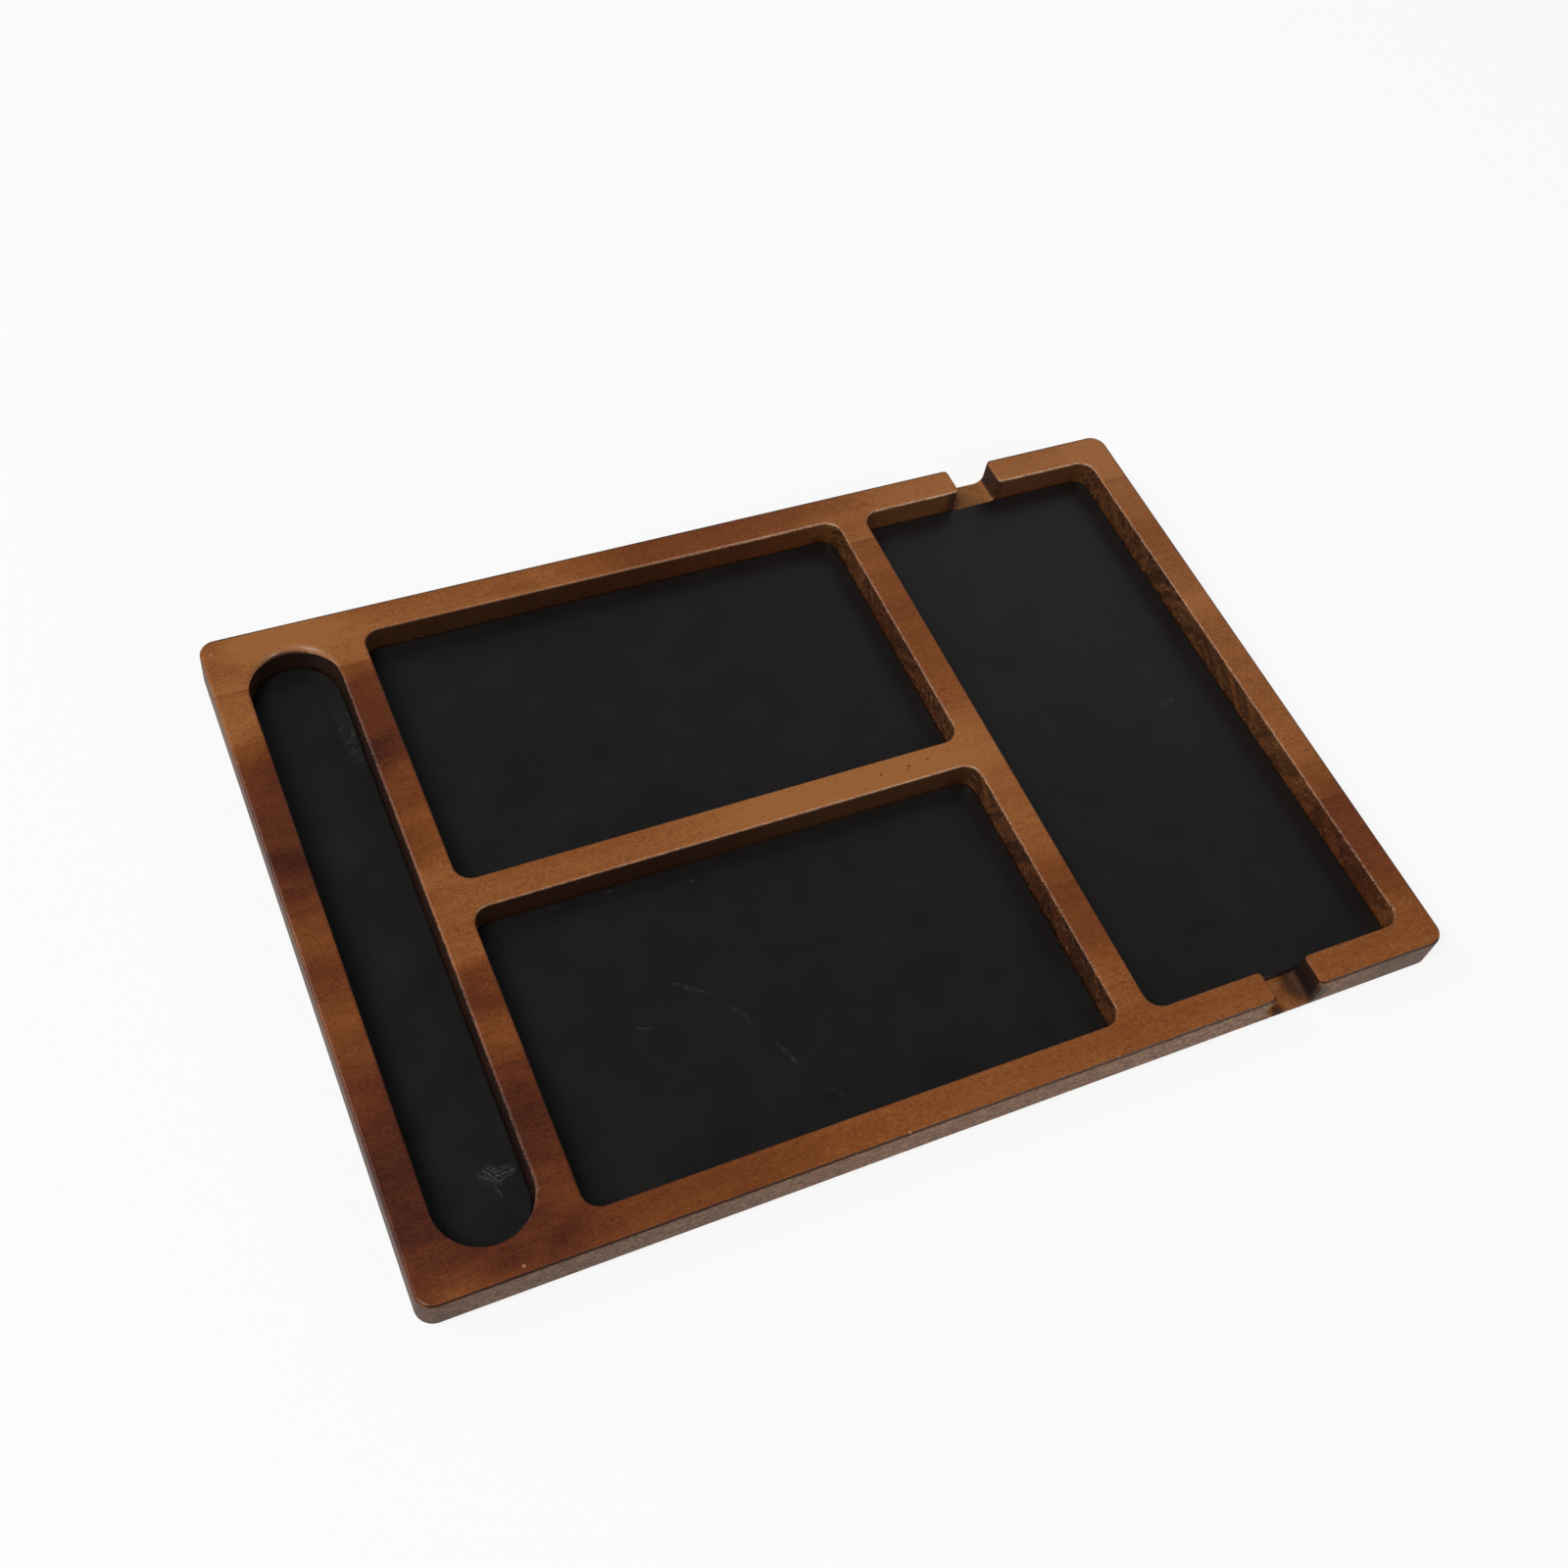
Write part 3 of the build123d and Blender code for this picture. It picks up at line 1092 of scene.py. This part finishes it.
@dataclass(frozen=True)
class BlackLeather:
    """Smooth black leather with a fine grain, a low sheen, and a few creases and scuffs. The creases are
    painted pale as highlights on their ridges, and one scuff is a painted sheen.

    The cells are the sizes of its noises. A scuff is made of scratches, of which scratch_floor shows even
    between them and scratch_kept where they are broken.
    """

    base: Colour = (0.0056, 0.0047, 0.0046, 1.0)
    faded: Colour = (0.0088, 0.0076, 0.0072, 1.0)
    # the pale of the scuffs, of the creases' painted highlights and of the painted sheen
    rubbed_and_sheen: Colour = (0.085, 0.085, 0.092, 1.0)
    cut: Colour = (0.016, 0.014, 0.012, 1.0)
    cut_share: float = 0.6
    cut_facing: Span = (0.7, 0.3)
    grain_cell: Point = (0.55 * MM,) * 3
    grain_groove: Span = (0.0, 0.22)
    swell_cell: Point = (16.0 * MM,) * 3
    crease_cell: Point = (6.0 * MM, 0.66 * MM, 6.0 * MM)
    crease_line: Span = (0.034, 0.0)
    crease_rim: Span = (1.0, 0.3)
    scratch_cell: Point = (1.8 * MM, 0.55 * MM, 1.8 * MM)
    scratch_turn: float = -0.4
    scratch_line: Span = (0.06, 0.0)
    scratch_floor: float = 0.08
    scratch_kept: float = 0.25
    broken_cell: Point = (2.4 * MM,) * 3
    broken: Span = (0.48, 0.58)
    scuff_rim: Span = (1.0, 0.2)
    relief_depth: float = 0.06 * MM
    relief_strength: float = 0.5
    grain_height: float = 0.35
    swell_height: float = 0.50
    crease_height: float = 0.50
    roughness: float = 0.37
    swell_roughness: float = 0.16
    grain_roughness: float = -0.05
    cut_roughness: float = 0.25
    specular: float = 0.40

    def dress(self, piece: bpy.types.Object, liner: "Liner") -> None:
        """Give a liner its leather.

        Args:
            piece: the liner's object.
            liner: the liner, with its seed and its marks.
        """
        bench = new_bench(f"leather_{piece.name}")
        place = bench.local(bench.place(), (-liner.seed, 0.0, 0.0))
        grain = bench.cells(bench.scaled(place, self.grain_cell), "DISTANCE_TO_EDGE")
        grain = grain.rise(*self.grain_groove)
        swell = bench.noise(bench.scaled(place, self.swell_cell), 3.0)
        scratches = self._scratches(bench, place)
        lines = swell * 0.0
        for crease in liner.creases:
            lines = lines + self._crease(bench, crease)
        marks = lines
        for scuff in liner.scuffs:
            marks = marks + self._reach(bench, scuff).rise(*self.scuff_rim) * scratches * scuff.depth
        _, _, up = bench.parts(bench.facing())
        cut_edge = up.rise(*self.cut_facing)
        colour = bench.blend(swell, self.base, self.faded)
        # creases drawn pale as painted highlights on their ridges; scuffs pale, one of them a painted sheen
        colour = bench.blend(marks.at_most(1.0), colour, self.rubbed_and_sheen)
        colour = bench.blend(cut_edge * self.cut_share, colour, self.cut)
        swell = swell.about_zero()
        height = 0.4 + grain * self.grain_height + swell * self.swell_height + lines * self.crease_height
        roughness = self.roughness + swell * self.swell_roughness + grain * self.grain_roughness
        bench.finish({
            "Base Color": colour,
            "Roughness": roughness + cut_edge * self.cut_roughness,
            "Normal": bench.relief(height, self.relief_depth, self.relief_strength),
            "Specular IOR Level": self.specular,
            "IOR": FINISH_IOR,
        })
        piece.data.materials.append(bench.owner)

    def _scratches(self, bench: ShaderBench, place: Signal) -> Signal:
        """Short scratches where stretched noise crosses its mean, broken up by a coarser noise.

        Args:
            bench: the liner's shader bench.
            place: the point in the liner's own noise.

        Returns:
            The scratches' strength.
        """
        ridges = bench.noise(bench.scaled(place, self.scratch_cell, self.scratch_turn), 2.0, 0.6)
        ridges = abs(ridges.about_zero()).rise(*self.scratch_line)
        broken = bench.noise(bench.scaled(place, self.broken_cell), 2.0).rise(*self.broken)
        scratches = self.scratch_floor + ridges * (1.0 - self.scratch_floor)
        return scratches * (self.scratch_kept + broken * (1.0 - self.scratch_kept))

    @staticmethod
    def _reach(bench: ShaderBench, mark: Mark) -> Signal:
        """How far a point lies from a mark's centre, where 1 is the mark's rim."""
        return bench.length(bench.local(bench.place(), (*mark.centre, 0.0), mark.turn, (*mark.reach, 1.0)))

    def _crease(self, bench: ShaderBench, crease: Mark) -> Signal:
        """Fine lines where stretched noise crosses its mean, which fade out away from the cluster's centre.

        Args:
            bench: the liner's shader bench.
            crease: the cluster.

        Returns:
            The lines' strength.
        """
        cell = bench.local(bench.place(), (*crease.centre, 0.0), crease.turn, self.crease_cell)
        ridges = abs(bench.noise(cell, 2.0, 0.6).about_zero()).rise(*self.crease_line)
        return ridges * self._reach(bench, crease).rise(*self.crease_rim) * crease.depth


@dataclass(frozen=True)
class Wave:
    """A sine wave in a liner's surface: its direction and length, how far a seed shifts it, its share."""

    along_x: float
    along_y: float
    length: float
    shift: float
    share: float


@dataclass
class Liner:
    """A sheet of leather glued to the floor of one pocket.

    node is the CAD solid that it stands for, which gives its place and size. corner is the radius of its
    corners, edge the rounding of its cut edge, and swell how far its surface rises and falls. step is the
    grid's, and corner_density how many times closer its lines lie within a corner.
    """

    node: str
    ends: Ends
    seed: float
    creases: tuple[Mark, ...] = ()
    scuffs: tuple[Mark, ...] = ()
    corner: float = 5.4 * MM
    edge: float = 0.30 * MM
    swell: float = 0.07 * MM
    step: float = 1.6 * MM
    corner_density: float = 2.5
    edge_rings: int = 3
    waves: tuple[Wave, Wave, Wave] = (
        Wave(0.8, 0.6, 11.0 * MM, 1.0, 0.45),
        Wave(-0.3, 1.0, 17.0 * MM, 2.3, 0.40),
        Wave(0.5, -1.0, 6.5 * MM, 0.7, 0.15),
    )

    def outline(self, u: np.ndarray, v: np.ndarray, inset: float) -> tuple[np.ndarray, np.ndarray]:
        """Points of the liner's plan.

        A square grid from -1 to 1 is laid on the rectangle inside the corners' centres, and what lies
        past it is a border as wide as a corner. Where two borders meet, the square corner is turned
        into a quarter disc: x = a sqrt(1 - b b / 2), y = b sqrt(1 - a a / 2), where a and b run from 0
        at the corner's centre to 1 at its outer sides.

        Args:
            u: shares of the way along X, from -1 to 1.
            v: shares of the way along Y, from -1 to 1.
            inset: how far the outline is drawn in.

        Returns:
            The points' X and Y.
        """
        low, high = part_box(self.node)
        centre_x, centre_y = (low.x + high.x) / 2, (low.y + high.y) / 2
        half_x, half_y = (high.x - low.x) / 2, (high.y - low.y) / 2
        radius = self.radius()
        core_x, core_y = half_x - radius, half_y - radius
        reach = radius - inset
        x, y = u * half_x, v * half_y
        past_x = np.clip((np.abs(x) - core_x) / radius, 0.0, 1.0)
        past_y = np.clip((np.abs(y) - core_y) / radius, 0.0, 1.0)
        disc_x = past_x * np.sqrt(1.0 - past_y**2 / 2.0)
        disc_y = past_y * np.sqrt(1.0 - past_x**2 / 2.0)
        plan_x = np.minimum(np.abs(x), core_x) + disc_x * reach
        plan_y = np.minimum(np.abs(y), core_y) + disc_y * reach
        return centre_x + np.sign(u) * plan_x, centre_y + np.sign(v) * plan_y

    def radius(self) -> float:
        """The radius of the liner's corners, which at half-round ends is half its width."""
        low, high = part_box(self.node)
        return (high.x - low.x) / 2 if self.ends is Ends.HALF_ROUND else self.corner

    def stations(self, half: float) -> np.ndarray:
        """Places of the grid's lines along one axis, closer together within a corner.

        Args:
            half: half the liner's size along that axis.

        Returns:
            Shares of the half size, from -1 to 1.
        """
        radius = self.radius()
        core = half - radius
        corner_count = 2 + math.ceil(radius / self.step * self.corner_density)
        core_count = max(1, math.ceil(2 * core / self.step))
        corner = np.linspace(core, half, corner_count + 1)[1:]
        middle = np.linspace(-core, core, core_count + 1) if core > 0 else np.zeros(1)
        return np.concatenate([-corner[::-1], middle, corner]) / half

    def surface_height(self, x: np.ndarray, y: np.ndarray) -> np.ndarray:
        """The rise and fall of the leather where the glue took it up unevenly.

        Three sine waves are added, each with its own direction and length, and scaled to the swell. The
        third is first multiplied by the first, so that it comes and goes.

        Args:
            x: the points' X.
            y: the points' Y.

        Returns:
            Their height above the liner's mean surface.
        """
        first, second, third = (
            np.sin((x * wave.along_x + y * wave.along_y) / wave.length + wave.shift * self.seed)
            for wave in self.waves
        )
        shares = [wave.share for wave in self.waves]
        return self.swell * (shares[0] * first + shares[1] * second + shares[2] * (third * first))

    def build(self, finish: BlackLeather, rests_on: list[str]) -> bpy.types.Object:
        """Make the liner, closed all round, and dress it.

        The top and the bottom are grids on the outline. Between their rims the cut edge runs in rings:
        a quarter circle of the edge's radius, with the inset falling as edge (1 - sin t) and the height
        as edge (1 - cos t), and then straight down to the pocket floor.

        Args:
            finish: the leather.
            rests_on: the nodes that it lies on; not used.

        Returns:
            The liner's object.
        """
        low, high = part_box(self.node)
        u, v = np.meshgrid(self.stations((high.x - low.x) / 2), self.stations((high.y - low.y) / 2))
        rim = rim_of_grid(*u.shape)
        top_x, top_y = self.outline(u, v, self.edge)
        top_z = high.z - self.swell + self.surface_height(top_x, top_y)
        layers = [np.stack([top_x, top_y, top_z], axis=-1).reshape(-1, 3)]
        rim_z = top_z.ravel()[rim]
        for turn in np.linspace(0.0, math.pi / 2, self.edge_rings + 1)[1:]:
            ring_x, ring_y = self.outline(u.ravel()[rim], v.ravel()[rim], self.edge * (1 - math.sin(turn)))
            layers.append(np.stack([ring_x, ring_y, rim_z - self.edge * (1 - math.cos(turn))], axis=-1))
        base_x, base_y = self.outline(u, v, 0.0)
        layers.append(np.stack([base_x, base_y, np.full_like(base_x, low.z)], axis=-1).reshape(-1, 3))
        top, skirt = grid_faces(*u.shape), self._skirt(layers, rim)
        faces = np.concatenate([top, skirt, self._underside(layers, u.shape)])
        piece = new_piece(f"{self.node}_leather", np.concatenate(layers), faces)
        finish.dress(piece, self)
        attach(piece, BODY)
        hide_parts(self.node)
        width, length = high.x - low.x, high.y - low.y
        area = width * length - (4.0 - math.pi) * self.radius() ** 2
        log.info("%s: leather, %.0f by %.0f mm, %d faces", piece.name, width / MM, length / MM, len(faces))
        return piece

    @staticmethod
    def _skirt(layers: list[np.ndarray], rim: np.ndarray) -> np.ndarray:
        """Faces of the cut edge, ring by ring from the top grid's rim to the bottom grid's rim.

        Args:
            layers: the top grid's points, each ring's points and the bottom grid's points.
            rim: the grid points on the rim, in order round it.

        Returns:
            The faces, as rows of four point numbers.
        """
        starts = np.cumsum([0] + [len(layer) for layer in layers])
        rings = [rim] + [starts[index] + np.arange(len(rim)) for index in range(1, len(layers) - 1)]
        rings.append(starts[len(layers) - 1] + rim)
        bands = [
            np.stack([upper, lower, np.roll(lower, -1), np.roll(upper, -1)], axis=-1)
            for upper, lower in zip(rings, rings[1:])
        ]
        return np.concatenate(bands)

    @staticmethod
    def _underside(layers: list[np.ndarray], shape: tuple[int, int]) -> np.ndarray:
        """Faces of the bottom grid, turned to face down."""
        start = sum(len(layer) for layer in layers[:-1])
        return start + grid_faces(*shape)[:, ::-1]


def rim_of_grid(rows: int, columns: int) -> np.ndarray:
    """Point numbers round the rim of a grid, anticlockwise from its first point."""
    number = np.arange(rows * columns).reshape(rows, columns)
    return np.concatenate([number[0, :-1], number[:-1, -1], number[-1, :0:-1], number[:0:-1, 0]])


def grid_faces(rows: int, columns: int) -> np.ndarray:
    """The faces of a grid, facing up.

    Args:
        rows: how many rows of points it has.
        columns: how many points are in a row.

    Returns:
        Four point numbers for each face.
    """
    number = np.arange(rows * columns).reshape(rows, columns)
    corners = [number[:-1, :-1], number[:-1, 1:], number[1:, 1:], number[1:, :-1]]
    return np.stack([corner.ravel() for corner in corners], axis=-1)


def new_piece(name: str, points: np.ndarray, faces: np.ndarray) -> bpy.types.Object:
    """A smooth-shaded mesh object at the origin.

    Args:
        name: the object's name.
        points: one row of X, Y and Z for each point.
        faces: one row of point numbers for each face.

    Returns:
        The object.
    """
    mesh = bpy.data.meshes.new(name)
    mesh.from_pydata(points.tolist(), [], faces.tolist())
    mesh.polygons.foreach_set("use_smooth", np.ones(len(faces), dtype=bool))
    mesh.update()
    piece = bpy.data.objects.new(name, mesh)
    bpy.context.scene.collection.objects.link(piece)
    return piece


@dataclass
class Liners:
    """The four leather liners and their finish."""

    finish: BlackLeather = field(default_factory=BlackLeather)
    sheets: tuple[Liner, ...] = (
        Liner("pen_slot_liner", Ends.HALF_ROUND, 1.0, (
            Mark((-0.1478, -0.0913), (0.0066, 0.0042), 0.13, 1.00),
            Mark((-0.1520, -0.0898), (0.0036, 0.0042), -0.85, 0.90),
            Mark((-0.1508, -0.0962), (0.0034, 0.0014), -1.20, 0.60),
        ), (
            Mark((-0.1660, -0.1010), (0.0008, 0.0006), 0.0, 0.50),
            Mark((-0.1495, -0.0912), (0.0075, 0.0044), 0.0, 0.16),
            # painted sheen where the leather curls up the divider's wall
            Mark((-0.1440, 0.0800), (0.0052, 0.0210), 0.0, 0.55),
        )),
        Liner("front_pocket_liner", Ends.ROUNDED_CORNERS, 2.0, (
            Mark((-0.0900, -0.0600), (0.0040, 0.0016), -0.32, 0.30),
        ), (
            Mark((-0.0700, -0.0513), (0.0120, 0.0014), -0.70, 0.55),
            Mark((-0.0573, -0.0666), (0.0112, 0.0011), -1.08, 0.55),
            Mark((-0.0490, -0.0840), (0.0110, 0.0013), -1.18, 0.50),
            Mark((-0.0410, -0.0993), (0.0090, 0.0010), -0.97, 0.35),
            Mark((-0.0890, -0.0600), (0.0034, 0.0006), -0.32, 0.60),
            Mark((-0.1090, -0.0330), (0.0014, 0.0009), 0.00, 0.50),
            Mark((-0.0540, -0.0135), (0.0018, 0.0008), 0.20, 0.55),
            Mark((-0.0820, -0.0080), (0.0012, 0.0007), 0.0, 0.80),
            Mark((-0.1060, -0.0082), (0.0090, 0.0016), 0.0, 0.22),
            Mark((-0.1180, -0.0830), (0.0016, 0.0010), 0.0, 0.30),
        )),
        Liner("back_pocket_liner", Ends.ROUNDED_CORNERS, 3.0),
        Liner("large_pocket_liner", Ends.ROUNDED_CORNERS, 4.0, (), (
            Mark((0.1475, 0.0185), (0.0042, 0.0050), 0.0, 0.30),
            Mark((0.1500, 0.0020), (0.0066, 0.0018), 0.25, 0.34),
            Mark((0.1452, 0.0000), (0.0030, 0.0030), 0.0, 0.20),
        )),
    )

    def build(self, staves: list[str]) -> None:
        """Make every liner, on the board's staves."""
        for sheet in self.sheets:
            sheet.build(self.finish, staves)


@dataclass(frozen=True)
class SoftBox:
    """A square studio lamp: where it stands, what it faces, its side and its power in watts."""

    name: str
    place: Point
    side: float
    power: float
    aim: Point = ORIGIN

    def build(self) -> None:
        """Hang the lamp."""
        lamp = bpy.data.lights.new(self.name, "AREA")
        lamp.shape = "SQUARE"
        lamp.size = self.side
        lamp.energy = self.power
        stand = bpy.data.objects.new(self.name, lamp)
        stand.location = self.place
        stand.rotation_mode = "QUATERNION"
        stand.rotation_quaternion = (Vector(self.aim) - Vector(self.place)).to_track_quat("-Z", "Y")
        bpy.context.scene.collection.objects.link(stand)


@dataclass(frozen=True)
class Viewpoint:
    """The photograph's view: what the camera looks at, from which side, how far off, and its roll.

    The angles are in degrees, and the lens and the sensor in millimetres.
    """

    aim: Point = (-0.01165, 0.00728, 0.0150)
    azimuth: float = 35.00
    elevation: float = 54.47
    roll: float = 13.70
    distance: float = 0.6513
    lens: float = 42.90
    sensor: float = 36.0
    clip: Span = (0.02, 50.0)

    def build(self) -> None:
        """Set up the camera and make it the scene's own."""
        camera = bpy.data.cameras.new("camera")
        camera.lens = self.lens
        camera.sensor_width = self.sensor
        camera.clip_start, camera.clip_end = self.clip
        azimuth, elevation = math.radians(self.azimuth), math.radians(self.elevation)
        level = math.cos(elevation)
        ahead = Vector((math.sin(azimuth) * level, math.cos(azimuth) * level, -math.sin(elevation)))
        stand = bpy.data.objects.new("camera", camera)
        stand.location = Vector(self.aim) - ahead * self.distance
        stand.rotation_mode = "QUATERNION"
        roll = Quaternion((0.0, 0.0, 1.0), math.radians(self.roll))
        stand.rotation_quaternion = ahead.to_track_quat("-Z", "Y") @ roll
        bpy.context.scene.collection.objects.link(stand)
        bpy.context.scene.camera = stand


@dataclass
class Studio:
    """A pale floor, soft lamps, soft light from all round, and the camera.

    background_share is how much of the floor the camera sees as white, and horizon and zenith are the
    strengths of the light from the side and from above, which overhead parts by how far up a ray looks.
    """

    floor_half: float = 6.0
    floor_drop: float = 0.2 * MM
    floor_shade: float = 0.86
    background_share: float = 0.82
    horizon: float = 0.26
    zenith: float = 0.07
    overhead: Span = (0.45, 0.95)
    lamps: tuple[SoftBox, ...] = (
        SoftBox("main_lamp", (-2.40, -0.73, 4.10), 2.20, 154.0),
        SoftBox("side_lamp", (-2.80, 2.05, 2.66), 1.10, 41.0),
        SoftBox("front_lamp", (1.94, -3.00, 2.10), 1.10, 29.0),
        SoftBox("fill_lamp", (1.36, 1.32, 1.10), 1.20, 1.3),
    )
    viewpoint: Viewpoint = field(default_factory=Viewpoint)

    def build(self) -> None:
        """Build the studio."""
        self._floor()
        self._sky()
        for lamp in self.lamps:
            lamp.build()
        self.viewpoint.build()
        bpy.context.scene.view_settings.view_transform = "Standard"
        log.info("studio: %d lamps", len(self.lamps))

    def _floor(self) -> None:
        """The floor. The camera and gloss see it near white, and the tray's shadow stays on it."""
        half, level = self.floor_half, -self.floor_drop
        corners = [[-half, -half, level], [half, -half, level], [half, half, level], [-half, half, level]]
        floor = new_piece("floor", np.array(corners), np.array([[0, 1, 2, 3]]))
        floor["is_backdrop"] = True
        bench = new_bench("floor")
        path = bench.node("ShaderNodeLightPath", {}, {}, "Is Camera Ray")
        outputs = path.socket.node.outputs
        seen = path.at_least(Signal(bench, outputs["Is Glossy Ray"]))
        seen = seen.at_least(Signal(bench, outputs["Is Transmission Ray"]))
        shade = (self.floor_shade,) * 3 + (1.0,)
        matt = bench.node("ShaderNodeBsdfDiffuse", {}, {"Color": shade})
        white = bench.node("ShaderNodeEmission", {}, {"Color": WHITE, "Strength": 1.0})
        mixed = bench.node("ShaderNodeMixShader", {}, {0: seen * self.background_share, 1: matt, 2: white})
        bench.node_to_output("ShaderNodeOutputMaterial", mixed)
        floor.data.materials.append(bench.owner)

    def _sky(self) -> None:
        """Soft light from all round, dimmer overhead, which the camera sees as white."""
        bench = ShaderBench(bpy.data.worlds.new("studio"))
        bpy.context.scene.world = bench.owner
        ray = bench.node("ShaderNodeTexCoord", {}, {}, "Generated")
        _, _, up = bench.parts(ray)
        light = self.horizon + up.rise(*self.overhead) * (self.zenith - self.horizon)
        seen = bench.node("ShaderNodeLightPath", {}, {}, "Is Camera Ray")
        strength = seen * (1.0 - light) + light
        sockets = {"Color": WHITE, "Strength": strength}
        bench.node_to_output("ShaderNodeOutputWorld", bench.node("ShaderNodeBackground", {}, sockets))


def main() -> None:
    """Build the tray's looks and the studio round it."""
    logging.basicConfig(level=logging.INFO, format="%(name)s: %(message)s")
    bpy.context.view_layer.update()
    board = Board()
    board.build()
    Liners().build([cut.node for cut in board.cuts])
    Studio().build()


if __name__ == "__main__":
    main()
